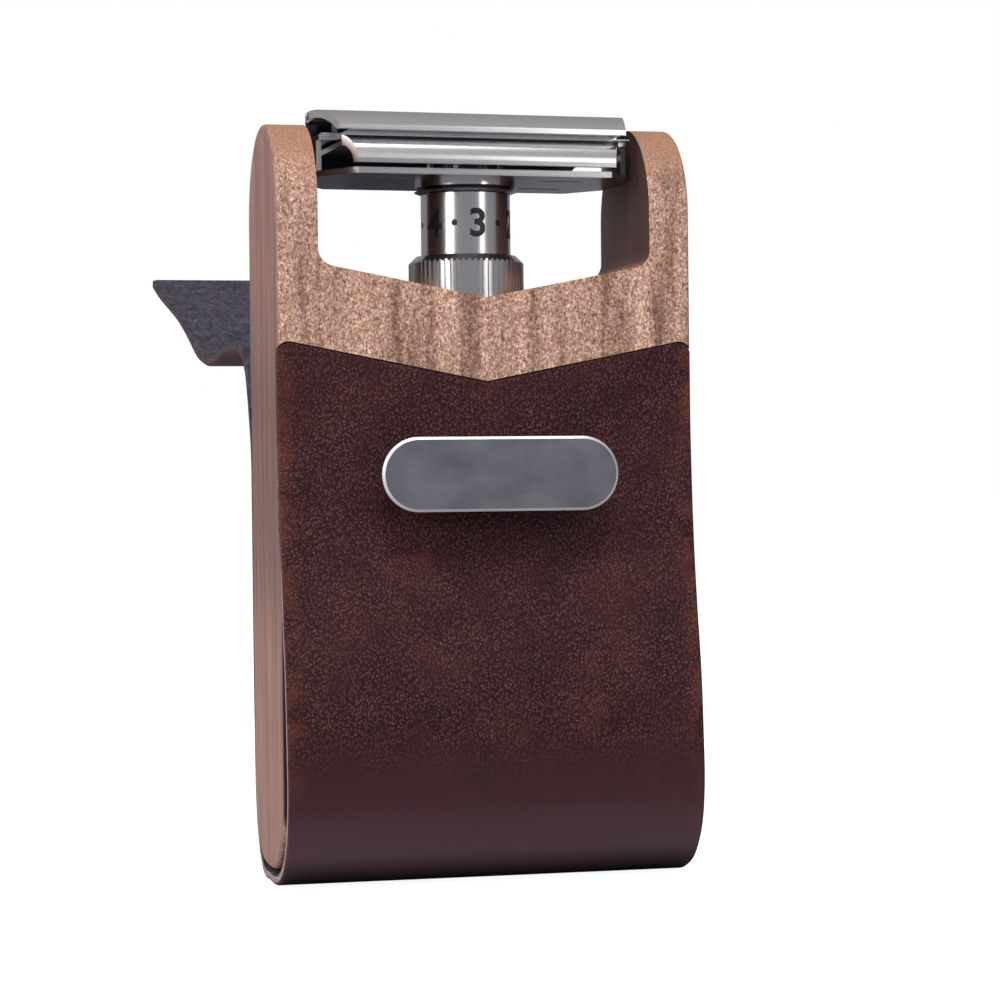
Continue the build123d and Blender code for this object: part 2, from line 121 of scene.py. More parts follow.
# Where the strip is cut between one hinge and the next, as a share of the way
SEAM_SHARES = [0.5, 0.5, 0.5, 0.5, 0.31, 0.56]
TAB_LENGTH = 48.3
TAB_CORNER = 1.0
SLOT_END_FROM_HINGE = 27.4
SLOT_HALF_WIDTH = 5.5
# The tab's grid: how far its even rows keep from the slot and the tip, the row between, the least gap
# between rows, and the columns between a side and the slot
SLOT_CLEARANCE = 1.2
SLOT_ROW = 0.7
TIP_CLEARANCE = 1.4
LEAST_ROW_GAP = 0.004
TAB_COLUMNS = 9

# The dial's figures, on the barrel
RAZOR_TURN = math.radians(3.0)
DIAL_STEPS = 12
FRONT_STEP = 4
FIGURE_HEIGHT = 3.9
FIGURE_Z = 88.2
DOT_RADIUS = 0.43
DOT_SIDES = 24
FIGURE_WEIGHT = 0.028
FIGURE_SMOOTHNESS = 6
PAINT_PROUD = 0.012
PAINT_DEPTH = 0.05
SLICE_WIDTH = 0.25
SLICES = 10


# ---- Shader helpers ----


def material(name, **values):
    """A new material: its tree and its shader, whose sockets are set by name with _ for a space."""
    made = bpy.data.materials.new(name)
    made.use_nodes = True
    tree = made.node_tree
    shader = tree.nodes["Principled BSDF"]
    for key, value in values.items():
        shader.inputs[key.replace("_", " ")].default_value = value
    return made, tree, shader


def plug(tree, value, socket):
    """Link a socket, or set a number or colour."""
    if isinstance(value, bpy.types.NodeSocket):
        tree.links.new(value, socket)
    else:
        socket.default_value = value


def math_node(tree, operation, a, b=0.0):
    node = tree.nodes.new("ShaderNodeMath")
    node.operation = operation
    plug(tree, a, node.inputs[0])
    plug(tree, b, node.inputs[1])
    return node.outputs[0]


def mapped(tree, vector, scale, turn=(0.0, 0.0, 0.0), shift=(0.0, 0.0, 0.0)):
    node = tree.nodes.new("ShaderNodeMapping")
    node.inputs["Scale"].default_value = scale
    node.inputs["Rotation"].default_value = turn
    node.inputs["Location"].default_value = shift
    tree.links.new(vector, node.inputs["Vector"])
    return node.outputs[0]


def object_mm(tree):
    """The object's own coordinates, in millimetres."""
    where = tree.nodes.new("ShaderNodeTexCoord")
    return mapped(tree, where.outputs["Object"], (1000.0, 1000.0, 1000.0))


def flat_mm(tree):
    """Where a point lies on the strip laid flat: across, along, in millimetres."""
    node = tree.nodes.new("ShaderNodeAttribute")
    node.attribute_name = "flat"
    return node.outputs["Vector"]


def parts_of(tree, vector):
    """The x, y and z sockets of a vector."""
    node = tree.nodes.new("ShaderNodeSeparateXYZ")
    tree.links.new(vector, node.inputs[0])
    return node.outputs


def normal_parts(tree):
    """The x, y and z of the way a surface faces, in the object's own axes."""
    return parts_of(tree, tree.nodes.new("ShaderNodeTexCoord").outputs["Normal"])


def noise(tree, vector, scale, detail=3.0, roughness=0.5, distortion=0.0):
    node = tree.nodes.new("ShaderNodeTexNoise")
    node.inputs["Scale"].default_value = scale
    node.inputs["Detail"].default_value = detail
    node.inputs["Roughness"].default_value = roughness
    node.inputs["Distortion"].default_value = distortion
    tree.links.new(vector, node.inputs["Vector"])
    return node.outputs[0]


def cells(tree, vector):
    """Flat cells one unit across, as a node with each cell's colour and the distance to its middle."""
    node = tree.nodes.new("ShaderNodeTexVoronoi")
    node.voronoi_dimensions = "2D"
    node.inputs["Scale"].default_value = 1.0
    tree.links.new(vector, node.inputs["Vector"])
    return node


def ramp(tree, factor, stops, interpolation="LINEAR"):
    """A colour ramp. A stop is its place and a grey or an RGB."""
    node = tree.nodes.new("ShaderNodeValToRGB")
    node.color_ramp.interpolation = interpolation
    elements = node.color_ramp.elements
    while len(elements) < len(stops):
        elements.new(0.5)
    for element, (place, colour) in zip(elements, stops):
        element.position = place
        rgb = colour if isinstance(colour, tuple) else (colour, colour, colour)
        element.color = (*rgb, 1.0)
    tree.links.new(factor, node.inputs[0])
    return node.outputs[0]


def mixed(tree, factor, a, b, blend="MIX"):
    node = tree.nodes.new("ShaderNodeMix")
    node.data_type = "RGBA"
    node.blend_type = blend
    plug(tree, factor, node.inputs[0])
    plug(tree, (*a, 1.0) if isinstance(a, tuple) else a, node.inputs[6])
    plug(tree, (*b, 1.0) if isinstance(b, tuple) else b, node.inputs[7])
    return node.outputs[2]


def bumped(tree, height, distance, strength=1.0, under=None):
    """A bump of that depth in millimetres, over another if one is given."""
    node = tree.nodes.new("ShaderNodeBump")
    node.inputs["Strength"].default_value = strength
    node.inputs["Distance"].default_value = distance * MM
    tree.links.new(height, node.inputs["Height"])
    if under is not None:
        tree.links.new(under, node.inputs["Normal"])
    return node.outputs[0]


# ---- Materials ----


def walnut():
    made, tree, shader = material("walnut_oiled", IOR=1.42)
    at = object_mm(tree)
    place = parts_of(tree, at)
    # Growth bands run up the block, leaning a little, and show on the front as soft darker stripes
    bands_at = mapped(tree, at, (0.30, 0.16, 0.030), (0.0, math.radians(9.0), 0.0))
    band_shade = ramp(tree, noise(tree, bands_at, 1.0, 4.0, 0.6, 0.4), [
        (0.36, (0.50, 0.44, 0.42)), (0.47, (0.93, 0.90, 0.88)), (0.64, (1.18, 1.17, 1.14)),
    ])
    grains_at = mapped(tree, at, (3.4, 3.4, 2.6), (0.0, math.radians(24.0), 0.0))
    grains = noise(tree, grains_at, 1.0, 4.0, 0.75, 0.4)
    # Painted highlights: the palest stop paints small glints on the front as light specks in the grain.
    front = ramp(tree, grains, [
        (0.34, (0.150, 0.062, 0.038)), (0.43, (0.35, 0.182, 0.120)), (0.50, (0.53, 0.305, 0.218)),
        (0.57, (0.69, 0.445, 0.345)), (0.64, (0.96, 0.76, 0.65)),
    ])
    front = mixed(tree, 1.0, front, band_shade, "MULTIPLY")
    pores = noise(tree, mapped(tree, at, (3.2, 3.2, 1.1), (0.0, math.radians(4.0), 0.0)), 1.0, 2.0, 0.5)
    front = mixed(tree, ramp(tree, pores, [(0.30, 0.85), (0.38, 0.0)]), front, (0.13, 0.050, 0.034))
    streaks = noise(tree, mapped(tree, at, (0.9, 0.9, 0.02)), 1.0, 5.0, 0.66)
    side = ramp(tree, streaks, [
        (0.30, (0.205, 0.098, 0.074)), (0.50, (0.335, 0.180, 0.145)), (0.72, (0.45, 0.250, 0.190)),
    ])
    stains = noise(tree, mapped(tree, at, (0.35, 0.35, 0.035), shift=(7.0, 2.0, 5.0)), 1.0, 4.0, 0.6)
    side = mixed(tree, ramp(tree, stains, [(0.50, 0.0), (0.64, 0.6)]), side, (0.215, 0.112, 0.112))
    # The sides are darkest half way up
    height = math_node(tree, "MULTIPLY", place[2], 0.01)
    by_height = ramp(tree, height, [
        (0.0, 1.20), (0.30, 1.18), (0.45, 0.80), (0.62, 0.80), (0.80, 1.05), (1.0, 1.15),
    ], "EASE")
    side = mixed(tree, 1.0, side, by_height, "MULTIPLY")
    facing = normal_parts(tree)
    facing_side = ramp(tree, math_node(tree, "ABSOLUTE", facing[0]), [(0.35, 0.0), (0.85, 1.0)], "EASE")
    facing_up = ramp(tree, facing[2], [(0.1, 0.0), (0.8, 1.0)], "EASE")
    soft_top = ramp(tree, grains, [
        (0.35, (0.27, 0.120, 0.062)), (0.5, (0.38, 0.190, 0.110)), (0.68, (0.48, 0.275, 0.18)),
    ])
    # Painted shade: the horns' inner faces are darkened where the horns shade them
    inward = math_node(tree, "MULTIPLY", math_node(tree, "SIGN", place[0]), facing[0])
    inner = ramp(tree, math_node(tree, "MULTIPLY", inward, -1.0), [(0.6, 0.0), (0.95, 0.85)], "EASE")
    side = mixed(tree, inner, side, (0.075, 0.036, 0.030))
    # Painted shade: the front is darkened in the narrow gap behind the strip, where light hardly reaches
    depth = math_node(tree, "MULTIPLY", place[1], -0.05)
    gap_shade = math_node(tree, "MULTIPLY", ramp(tree, height, [(0.54, 1.0), (0.58, 0.0)]),
                        ramp(tree, depth, [(0.590, 0.0), (0.605, 1.0)]))
    front = mixed(tree, gap_shade, front, (0.032, 0.011, 0.010))
    colour = mixed(tree, facing_up, front, soft_top)
    colour = mixed(tree, facing_side, colour, side)
    tree.links.new(colour, shader.inputs["Base Color"])
    tree.links.new(ramp(tree, grains, [(0.3, 0.66), (0.7, 0.48)]), shader.inputs["Roughness"])
    relief = mixed(tree, facing_side, grains, streaks)
    tree.links.new(bumped(tree, relief, 0.07, 0.7), shader.inputs["Normal"])
    return made


def leather_grain(name, with_arch_sheen):
    """Dark red leather's grain side. The flap's carries a pale mauve-grey painted sheen, meant for the
    underside of its arch.
    """
    made, tree, shader = material(name, IOR=1.45)
    shader.inputs["Specular IOR Level"].default_value = 0.2
    at = flat_mm(tree)
    place = parts_of(tree, at)
    # Pebbles: each cell's top carries a painted highlight, drawn out a little along one slant
    waver = tree.nodes.new("ShaderNodeVectorMath")
    waver.operation = "MULTIPLY_ADD"
    wander = tree.nodes.new("ShaderNodeTexNoise")
    wander.inputs["Scale"].default_value = 0.8
    tree.links.new(at, wander.inputs["Vector"])
    tree.links.new(wander.outputs["Color"], waver.inputs[0])
    waver.inputs[1].default_value = (0.9, 0.9, 0.0)
    tree.links.new(at, waver.inputs[2])
    pebble_at = mapped(tree, waver.outputs[0], (2.7, 2.0, 1.0), (0.0, 0.0, math.radians(28.0)))
    pebble = cells(tree, pebble_at)
    tops = ramp(tree, pebble.outputs["Distance"], [(0.12, 1.0), (0.48, 0.0)], "EASE")
    each = tree.nodes.new("ShaderNodeSeparateColor")
    tree.links.new(pebble.outputs["Color"], each.inputs[0])
    patches = ramp(tree, noise(tree, at, 0.22, 3.0, 0.6), [(0.32, 0.45), (0.62, 1.0)])
    # The strip is pulled smooth where it goes round the foot
    along = math_node(tree, "MULTIPLY", place[1], 1 / RAMP_LENGTH)
    pebbled = ramp(tree, along, [(0.265, 1.0), (0.315, 0.08), (0.50, 0.08), (0.57, 1.0)], "EASE")
    painted_glints = math_node(tree, "MULTIPLY", tops, ramp(tree, each.outputs[0], [(0.0, 0.30), (1.0, 1.0)]))
    painted_glints = math_node(tree, "MULTIPLY", math_node(tree, "MULTIPLY", painted_glints, patches), pebbled)
    clouds = noise(tree, at, 0.085, 5.0, 0.6, 0.5)
    deep = ramp(tree, clouds, [
        (0.30, (0.020, 0.0040, 0.0065)), (0.50, (0.033, 0.0070, 0.0090)), (0.72, (0.050, 0.0110, 0.0118)),
    ])
    tan_patch = noise(tree, mapped(tree, at, (1.0, 1.0, 1.0), shift=(31.0, 8.0, 0.0)), 0.075, 4.0, 0.7)
    deep = mixed(tree, ramp(tree, tan_patch, [(0.58, 0.0), (0.70, 0.45)]), deep, (0.115, 0.030, 0.013))
    across = math_node(tree, "MULTIPLY", math_node(tree, "ABSOLUTE", place[0]), 1 / HALF_WIDTH)
    worn = ramp(tree, noise(tree, at, 0.3, 3.0), [(0.42, 0.0), (0.60, 1.0)])
    worn = math_node(tree, "MULTIPLY", worn, ramp(tree, across, [(0.88, 0.0), (1.0, 0.7)], "EASE"))
    deep = mixed(tree, worn, deep, (0.115, 0.030, 0.015))
    if with_arch_sheen:
        # Painted sheen: a stretch of the flap's length is mixed towards a pale mauve-grey
        arch_sheen = ramp(tree, along, [(0.06, 0.0), (0.10, 0.85), (0.26, 0.85), (0.40, 0.0)], "EASE")
        deep = mixed(tree, arch_sheen, deep, (0.24, 0.165, 0.195))
    else:
        # Painted reflection and shade round the foot: the grain side is painted paler purple-grey further
        # down its curve, then dark where it turns under
        low = ramp(tree, along, [(0.27, 0.0), (0.335, 0.8), (0.365, 1.0), (0.40, 1.0)], "EASE")
        under = ramp(tree, along, [(0.28, (0.046, 0.015, 0.018)), (0.325, (0.066, 0.027, 0.033)),
                                   (0.358, (0.135, 0.074, 0.092)), (0.378, (0.040, 0.018, 0.022))])
        deep = mixed(tree, low, deep, under)
    # Painted highlights: the pebble tops are mixed towards a pale pink over the base colour
    tree.links.new(mixed(tree, painted_glints, deep, (0.158, 0.066, 0.062)), shader.inputs["Base Color"])
    tree.links.new(ramp(tree, painted_glints, [(0.0, 0.55), (1.0, 0.40)]), shader.inputs["Roughness"])
    grain = bumped(tree, math_node(tree, "MULTIPLY", tops, pebbled), 0.05, 0.7)
    tree.links.new(bumped(tree, noise(tree, at, 8.0, 3.0, 0.6), 0.010, 0.5, grain), shader.inputs["Normal"])
    return made


def leather_flesh():
    made, tree, shader = material("leather_flesh", Roughness=0.95)
    shader.inputs["Specular IOR Level"].default_value = 0.15
    at = flat_mm(tree)
    clouds = noise(tree, at, 0.30, 5.0, 0.7, 0.5)
    nap = noise(tree, mapped(tree, at, (1.4, 0.36, 1.0)), 1.0, 5.0, 0.8)
    colour = ramp(tree, clouds, [
        (0.32, (0.040, 0.036, 0.048)), (0.52, (0.062, 0.057, 0.077)), (0.70, (0.088, 0.081, 0.106)),
    ])
    spots = noise(tree, mapped(tree, at, (1.0, 0.6, 1.0), shift=(4.0, 9.0, 0.0)), 0.7, 4.0, 0.7)
    colour = mixed(tree, ramp(tree, spots, [(0.56, 0.0), (0.68, 0.7)]), colour, (0.080, 0.046, 0.048))
    colour = mixed(tree, 1.0, colour, ramp(tree, nap, [(0.34, 0.40), (0.5, 0.88), (0.66, 1.50)]), "MULTIPLY")
    tree.links.new(colour, shader.inputs["Base Color"])
    tree.links.new(bumped(tree, nap, 0.15, 0.8), shader.inputs["Normal"])
    return made


def leather_edge():
    made, tree, shader = material("leather_cut_edge", Roughness=0.7)
    at = flat_mm(tree)
    place = parts_of(tree, at)
    fibres = noise(tree, mapped(tree, at, (3.0, 0.35, 3.0)), 1.0, 4.0, 0.7)
    undyed_and_highlit = ramp(tree, fibres, [
        (0.32, (0.26, 0.165, 0.175)), (0.52, (0.42, 0.305, 0.320)), (0.72, (0.56, 0.45, 0.46)),
    ])
    # Only the stretch round the foot is left undyed, and its pale colour is partly a painted highlight on
    # the rounded edge: the rest is dyed and rubbed down dark
    dyed = ramp(tree, fibres, [(0.32, (0.040, 0.018, 0.021)), (0.70, (0.105, 0.052, 0.057))])
    along = math_node(tree, "MULTIPLY", place[1], 1 / RAMP_LENGTH)
    undyed_highlit_stretch = ramp(tree, along, [(0.15, 0.0), (0.19, 1.0), (0.52, 1.0), (0.60, 0.0)], "EASE")
    tree.links.new(mixed(tree, undyed_highlit_stretch, dyed, undyed_and_highlit), shader.inputs["Base Color"])
    tree.links.new(bumped(tree, fibres, 0.05, 0.7), shader.inputs["Normal"])
    return made


def razor_steel():
    made, tree, shader = material("razor_steel", Metallic=1.0)
    at = object_mm(tree)
    # Turned faces are brushed round the axis, so the marks change fast up it
    lines = noise(tree, mapped(tree, at, (0.05, 0.05, 14.0)), 1.0, 2.0, 0.6)
    smudge = noise(tree, at, 0.12, 2.0, 0.5)
    colour = ramp(tree, smudge, [(0.3, (0.76, 0.745, 0.75)), (0.7, (0.80, 0.785, 0.785))])
    facing = normal_parts(tree)
    # Painted shade: faces turned downwards, such as the tray's underside, are given a dark base colour
    downward = math_node(tree, "MULTIPLY", facing[2], -1.0)
    underside_shade = ramp(tree, downward, [(0.5, 0.0), (0.9, 1.0)], "EASE")
    tree.links.new(mixed(tree, underside_shade, colour, (0.16, 0.155, 0.18)), shader.inputs["Base Color"])
    tree.links.new(ramp(tree, lines, [(0.3, 0.17), (0.7, 0.24)]), shader.inputs["Roughness"])
    tree.links.new(bumped(tree, lines, 0.0012, 0.5), shader.inputs["Normal"])
    return made


def bar_steel():
    made, tree, shader = material("bar_steel", Metallic=1.0)
    at = object_mm(tree)
    smudge = noise(tree, mapped(tree, at, (0.13, 1.0, 0.22)), 1.0, 3.0, 0.5)
    facing = normal_parts(tree)
    flatness = math_node(tree, "ABSOLUTE", facing[1])
    # Painted highlight: the chamfer round the bar's face is painted near-white and made rougher, so it shows
    # as a bright line
    rim = ramp(tree, flatness, [(0.45, 0.0), (0.55, 1.0), (0.9, 1.0), (0.97, 0.0)])
    face = ramp(tree, smudge, [
        (0.36, (0.42, 0.41, 0.47)), (0.5, (0.50, 0.49, 0.55)), (0.66, (0.60, 0.59, 0.65)),
    ])
    tree.links.new(mixed(tree, rim, face, (0.95, 0.94, 0.96)), shader.inputs["Base Color"])
    tree.links.new(ramp(tree, rim, [(0.0, 0.16), (1.0, 0.5)]), shader.inputs["Roughness"])
    return made


def blade_steel():
    made, tree, shader = material("blade_steel", Metallic=1.0, Base_Color=(0.78, 0.78, 0.79, 1.0))
    at = object_mm(tree)
    lines = noise(tree, mapped(tree, at, (0.3, 12.0, 1.0)), 1.0, 2.0)
    tree.links.new(ramp(tree, lines, [(0.3, 0.10), (0.7, 0.2)]), shader.inputs["Roughness"])
    return made


def brass():
    made, tree, shader = material("turned_brass", Metallic=1.0)
    at = object_mm(tree)
    stain = noise(tree, at, 0.8, 4.0, 0.6)
    colour = ramp(tree, stain, [(0.3, (0.42, 0.27, 0.10)), (0.7, (0.62, 0.44, 0.20))])
    tree.links.new(colour, shader.inputs["Base Color"])
    tree.links.new(ramp(tree, stain, [(0.3, 0.38), (0.7, 0.25)]), shader.inputs["Roughness"])
    return made


def felt():
    made, tree, shader = material("felt", Roughness=1.0, Sheen_Weight=0.4)
    at = object_mm(tree)
    fibres = noise(tree, at, 4.0, 6.0, 0.8, 1.0)
    colour = ramp(tree, fibres, [(0.3, (0.012, 0.012, 0.014)), (0.7, (0.05, 0.05, 0.055))])
    tree.links.new(colour, shader.inputs["Base Color"])
    tree.links.new(bumped(tree, fibres, 0.2), shader.inputs["Normal"])
    return made


def dial_paint():
    made, tree, shader = material("dial_paint", IOR=1.5)
    at = object_mm(tree)
    wear = noise(tree, at, 6.0, 3.0)
    colour = ramp(tree, wear, [(0.3, (0.006, 0.006, 0.007)), (0.7, (0.016, 0.015, 0.016))])
    tree.links.new(colour, shader.inputs["Base Color"])
    tree.links.new(ramp(tree, wear, [(0.3, 0.32), (0.7, 0.45)]), shader.inputs["Roughness"])
    return made


SLOT_MATERIALS = {
    "walnut": walnut(), "razor_steel": razor_steel(), "bar_steel": bar_steel(),
    "blade_steel": blade_steel(), "brass": brass(), "felt": felt(),
}
for part in frame["record"]["subparts"]:
    finish = SLOT_MATERIALS.get(part["material_slot"])
    if finish is not None:
        mesh = nodes[part["node"]].data
        mesh.materials.clear()
        mesh.materials.append(finish)


# ---- The strip's geometry ----


def curve(points, step):
    """Points about a step apart on a smooth curve through the given ones."""
    ends = [(2 * points[0][0] - points[1][0], 2 * points[0][1] - points[1][1])]
    last = [(2 * points[-1][0] - points[-2][0], 2 * points[-1][1] - points[-2][1])]
    p = np.array(ends + list(points) + last, float)
    fine = []
    for i in range(1, len(p) - 2):
        t = np.linspace(0, 1, CURVE_SAMPLES, endpoint=False)[:, None]
        fine.append(
            0.5 * (2 * p[i] + (p[i + 1] - p[i - 1]) * t
                   + (2 * p[i - 1] - 5 * p[i] + 4 * p[i + 1] - p[i + 2]) * t ** 2
                   + (3 * p[i] - p[i - 1] - 3 * p[i + 1] + p[i + 2]) * t ** 3)
        )
    fine = np.vstack(fine + [p[-2:-1]])
    far = np.r_[0, np.cumsum(np.linalg.norm(np.diff(fine, axis=0), axis=1))]
    even = np.linspace(0, far[-1], int(far[-1] / step) + 1)
    return even, np.c_[np.interp(even, far, fine[:, 0]), np.interp(even, far, fine[:, 1])]


class Route:
    """The strip's middle line as a curve in (y, z), with a normal towards the grain side."""

    def __init__(self, far, line):
        self.far, self.line = far, line
        along = np.gradient(line, far, axis=0)
        along /= np.linalg.norm(along, axis=1)[:, None]
        self.normal = np.c_[along[:, 1], -along[:, 0]]

    def at(self, s):
        point = [np.interp(s, self.far, self.line[:, k]) for k in (0, 1)]
        normal = [np.interp(s, self.far, self.normal[:, k]) for k in (0, 1)]
        return np.array(point), np.array(normal) / math.hypot(*normal)

    def nearest(self, y, z):
        away = np.hypot(self.line[:, 0] - y, self.line[:, 1] - z)
        return float(self.far[int(np.argmin(away))])


def edge_steps():
    """Distances from a cut edge that its rounding and the faces beside it need."""
    turns = [math.radians(a) for a in (0, 22, 45, 68, 90)]
    return [EDGE_ROUND * (1 - math.sin(a)) for a in reversed(turns)]


def rounding(distance):
    """How far a face sinks towards the middle, that near to a cut edge."""
    if distance >= EDGE_ROUND:
        return 0.0
    return EDGE_ROUND - math.sqrt(max(0.0, EDGE_ROUND ** 2 - (EDGE_ROUND - distance) ** 2))


def strip_mesh(name, route, rows, columns, place, kept=None):
    """A closed solid of leather, from a grid on its two faces.

    place(i, j) gives a grid point's x, its s along the route, and its distance to the nearest cut edge.
    kept(i, j) says whether the cell after that point is leather.
    """
    vertices, flats, grid = [], [], {}
    for side in (1, -1):
        for i in range(rows):
            for j in range(columns):
                x, s, distance = place(i, j)
                point, normal = route.at(s)
                lift = side * (THICK / 2 - rounding(distance))
                y, z = point + normal * lift
                grid[side, i, j] = len(vertices)
                vertices.append((x * MM, y * MM, max(z, 0.0) * MM))
                flats.append((x, s, lift))
    faces, kinds = [], []
    full = {
        (i, j) for i in range(rows - 1) for j in range(columns - 1) if kept is None or kept(i, j)
    }
    for i, j in sorted(full):
        ring = [(i, j), (i, j + 1), (i + 1, j + 1), (i + 1, j)]
        faces.append([grid[1, *p] for p in ring])
        kinds.append(0)
        faces.append([grid[-1, *p] for p in reversed(ring)])
        kinds.append(1)
        sides = [((i - 1, j), ring[0], ring[1]), ((i, j + 1), ring[1], ring[2]),
                 ((i + 1, j), ring[2], ring[3]), ((i, j - 1), ring[3], ring[0])]
        for beyond, a, b in sides:
            if beyond not in full:
                faces.append([grid[1, *b], grid[1, *a], grid[-1, *a], grid[-1, *b]])
                kinds.append(2)
    mesh = bpy.data.meshes.new(name)
    mesh.from_pydata(vertices, [], faces)
    attribute = mesh.attributes.new("flat", "FLOAT_VECTOR", "POINT")
    attribute.data.foreach_set("vector", np.array(flats, np.float32).ravel())
    mesh.polygons.foreach_set("material_index", kinds)
    for finish in (GRAIN if route is wrap_route else FLAP_GRAIN, FLESH, EDGE):
        mesh.materials.append(finish)
    work = bmesh.new()
    work.from_mesh(mesh)
    bmesh.ops.remove_doubles(work, verts=work.verts, dist=MERGE_DISTANCE)
    loose = [v for v in work.verts if not v.link_faces]
    bmesh.ops.delete(work, geom=loose, context="VERTS")
    for edge in work.edges:
        edge.smooth = edge.calc_face_angle(0.0) < SHARP_ANGLE
    for face in work.faces:
        face.smooth = True
    bmesh.ops.recalc_face_normals(work, faces=work.faces)
    work.to_mesh(mesh)
    work.free()
    piece = bpy.data.objects.new(name, mesh)
    bpy.context.scene.collection.objects.link(piece)
    return piece


GRAIN, FLESH, EDGE = leather_grain("leather_grain", False), leather_flesh(), leather_edge()
FLAP_GRAIN = leather_grain("leather_grain_flap", True)


def spaced(start, end, step):
    """Even values from start to end, both included."""
    return list(np.linspace(start, end, max(2, int(round(abs(end - start) / step)) + 1)))


def across(half_width):
    """x of each column for a strip of that half width."""
    near = edge_steps() + SIDE_LINES
    inner = spaced(half_width - near[-1], 0.0, COLUMN_STEP)[1:]
    right = [half_width - d for d in near] + inner
    return [-x for x in right[:-1]] + list(reversed(right))


def half_width_at(z):
    """Half the strip's width at a height on the front."""
    share = min(1.0, max(0.0, (WIDE_FOOT - z) / NARROWING))
    return TOP_HALF_WIDTH + (HALF_WIDTH - TOP_HALF_WIDTH) * share


def top_of(x):
    """Height of the strip's V-shaped upper end, with its rounded corners."""
    slope = math.atan(V_SLOPE)
    middle_x = TOP_HALF_WIDTH - TOP_CORNER
    corner_z = V_APEX + V_SLOPE * TOP_HALF_WIDTH
    middle_z = corner_z - TOP_CORNER / math.tan((math.pi / 2 - slope) / 2)
    x = abs(x)
    if x <= middle_x - TOP_CORNER * math.sin(slope):
        return V_APEX + V_SLOPE * x
    return middle_z + math.sqrt(max(0.0, TOP_CORNER ** 2 - (x - middle_x) ** 2))


wrap_far, wrap_outer = curve(WRAP_ROUTE, WRAP_STEP)
wrap_line = wrap_outer - THICK / 2 * Route(wrap_far, wrap_outer).normal
wrap_far = np.r_[0, np.cumsum(np.linalg.norm(np.diff(wrap_line, axis=0), axis=1))]
wrap_route = Route(wrap_far, wrap_line)


def make_strip():
    """The strip's fixed part, from the V on the front, round the foot, to the back."""
    top_z = wrap_line[0, 1]
    common = top_z - WIDE_FOOT
    end = wrap_route.nearest(BACK_MIDDLE_Y, STRIP_END)
    xs = across(TOP_HALF_WIDTH)
    near = edge_steps() + TOP_LINES
    upper = [("near", d) for d in near] + [("share", k) for k in spaced(0.0, 1.0, UPPER_SHARE_STEP)[1:]]
    lower = spaced(common, end, ROW_STEP)[1:]
    rows = len(upper) + len(lower)

    def place(i, j):
        x = xs[j]
        edge = TOP_HALF_WIDTH - abs(x)
        if i < len(upper):
            kind, value = upper[i]
            first = top_z - top_of(x)
            if kind == "near":
                s, down = first + value, value
            else:
                down = near[-1] + (common - first - near[-1]) * value
                s = first + down
            return x, s, min(edge, down)
        s = lower[i - len(upper)]
        y, z = wrap_route.at(s)[0]
        wide = half_width_at(z if y < 0 else 0.0)
        return x * wide / TOP_HALF_WIDTH, s, edge

    return strip_mesh("leather_strip", wrap_route, rows, len(xs), place), end


leather_strip, strip_end = make_strip()
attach(leather_strip, "case")
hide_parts("leather_wrap")

flap_far, flap_line = curve(FLAP_ROUTE, FLAP_STEP)
flap_route = Route(flap_far, flap_line)
flap_route.far = flap_far + (strip_end - flap_route.nearest(BACK_MIDDLE_Y, STRIP_END))
hinge_at = [flap_route.nearest(y, z) for _, _, y, z in FLAP_HINGES]
tip_at = hinge_at[-1] + TAB_LENGTH
seams = [a + share * (b - a) for share, a, b in zip(SEAM_SHARES, hinge_at, hinge_at[1:])]
cuts = [strip_end] + seams + [tip_at]


def make_run(name, start, end):
    """A run of the flap between two cuts."""
    xs = across(HALF_WIDTH)
    stations = spaced(start, end, ROW_STEP)

    def place(i, j):
        return xs[j], stations[i], HALF_WIDTH - abs(xs[j])

    return strip_mesh(name, flap_route, len(stations), len(xs), place)


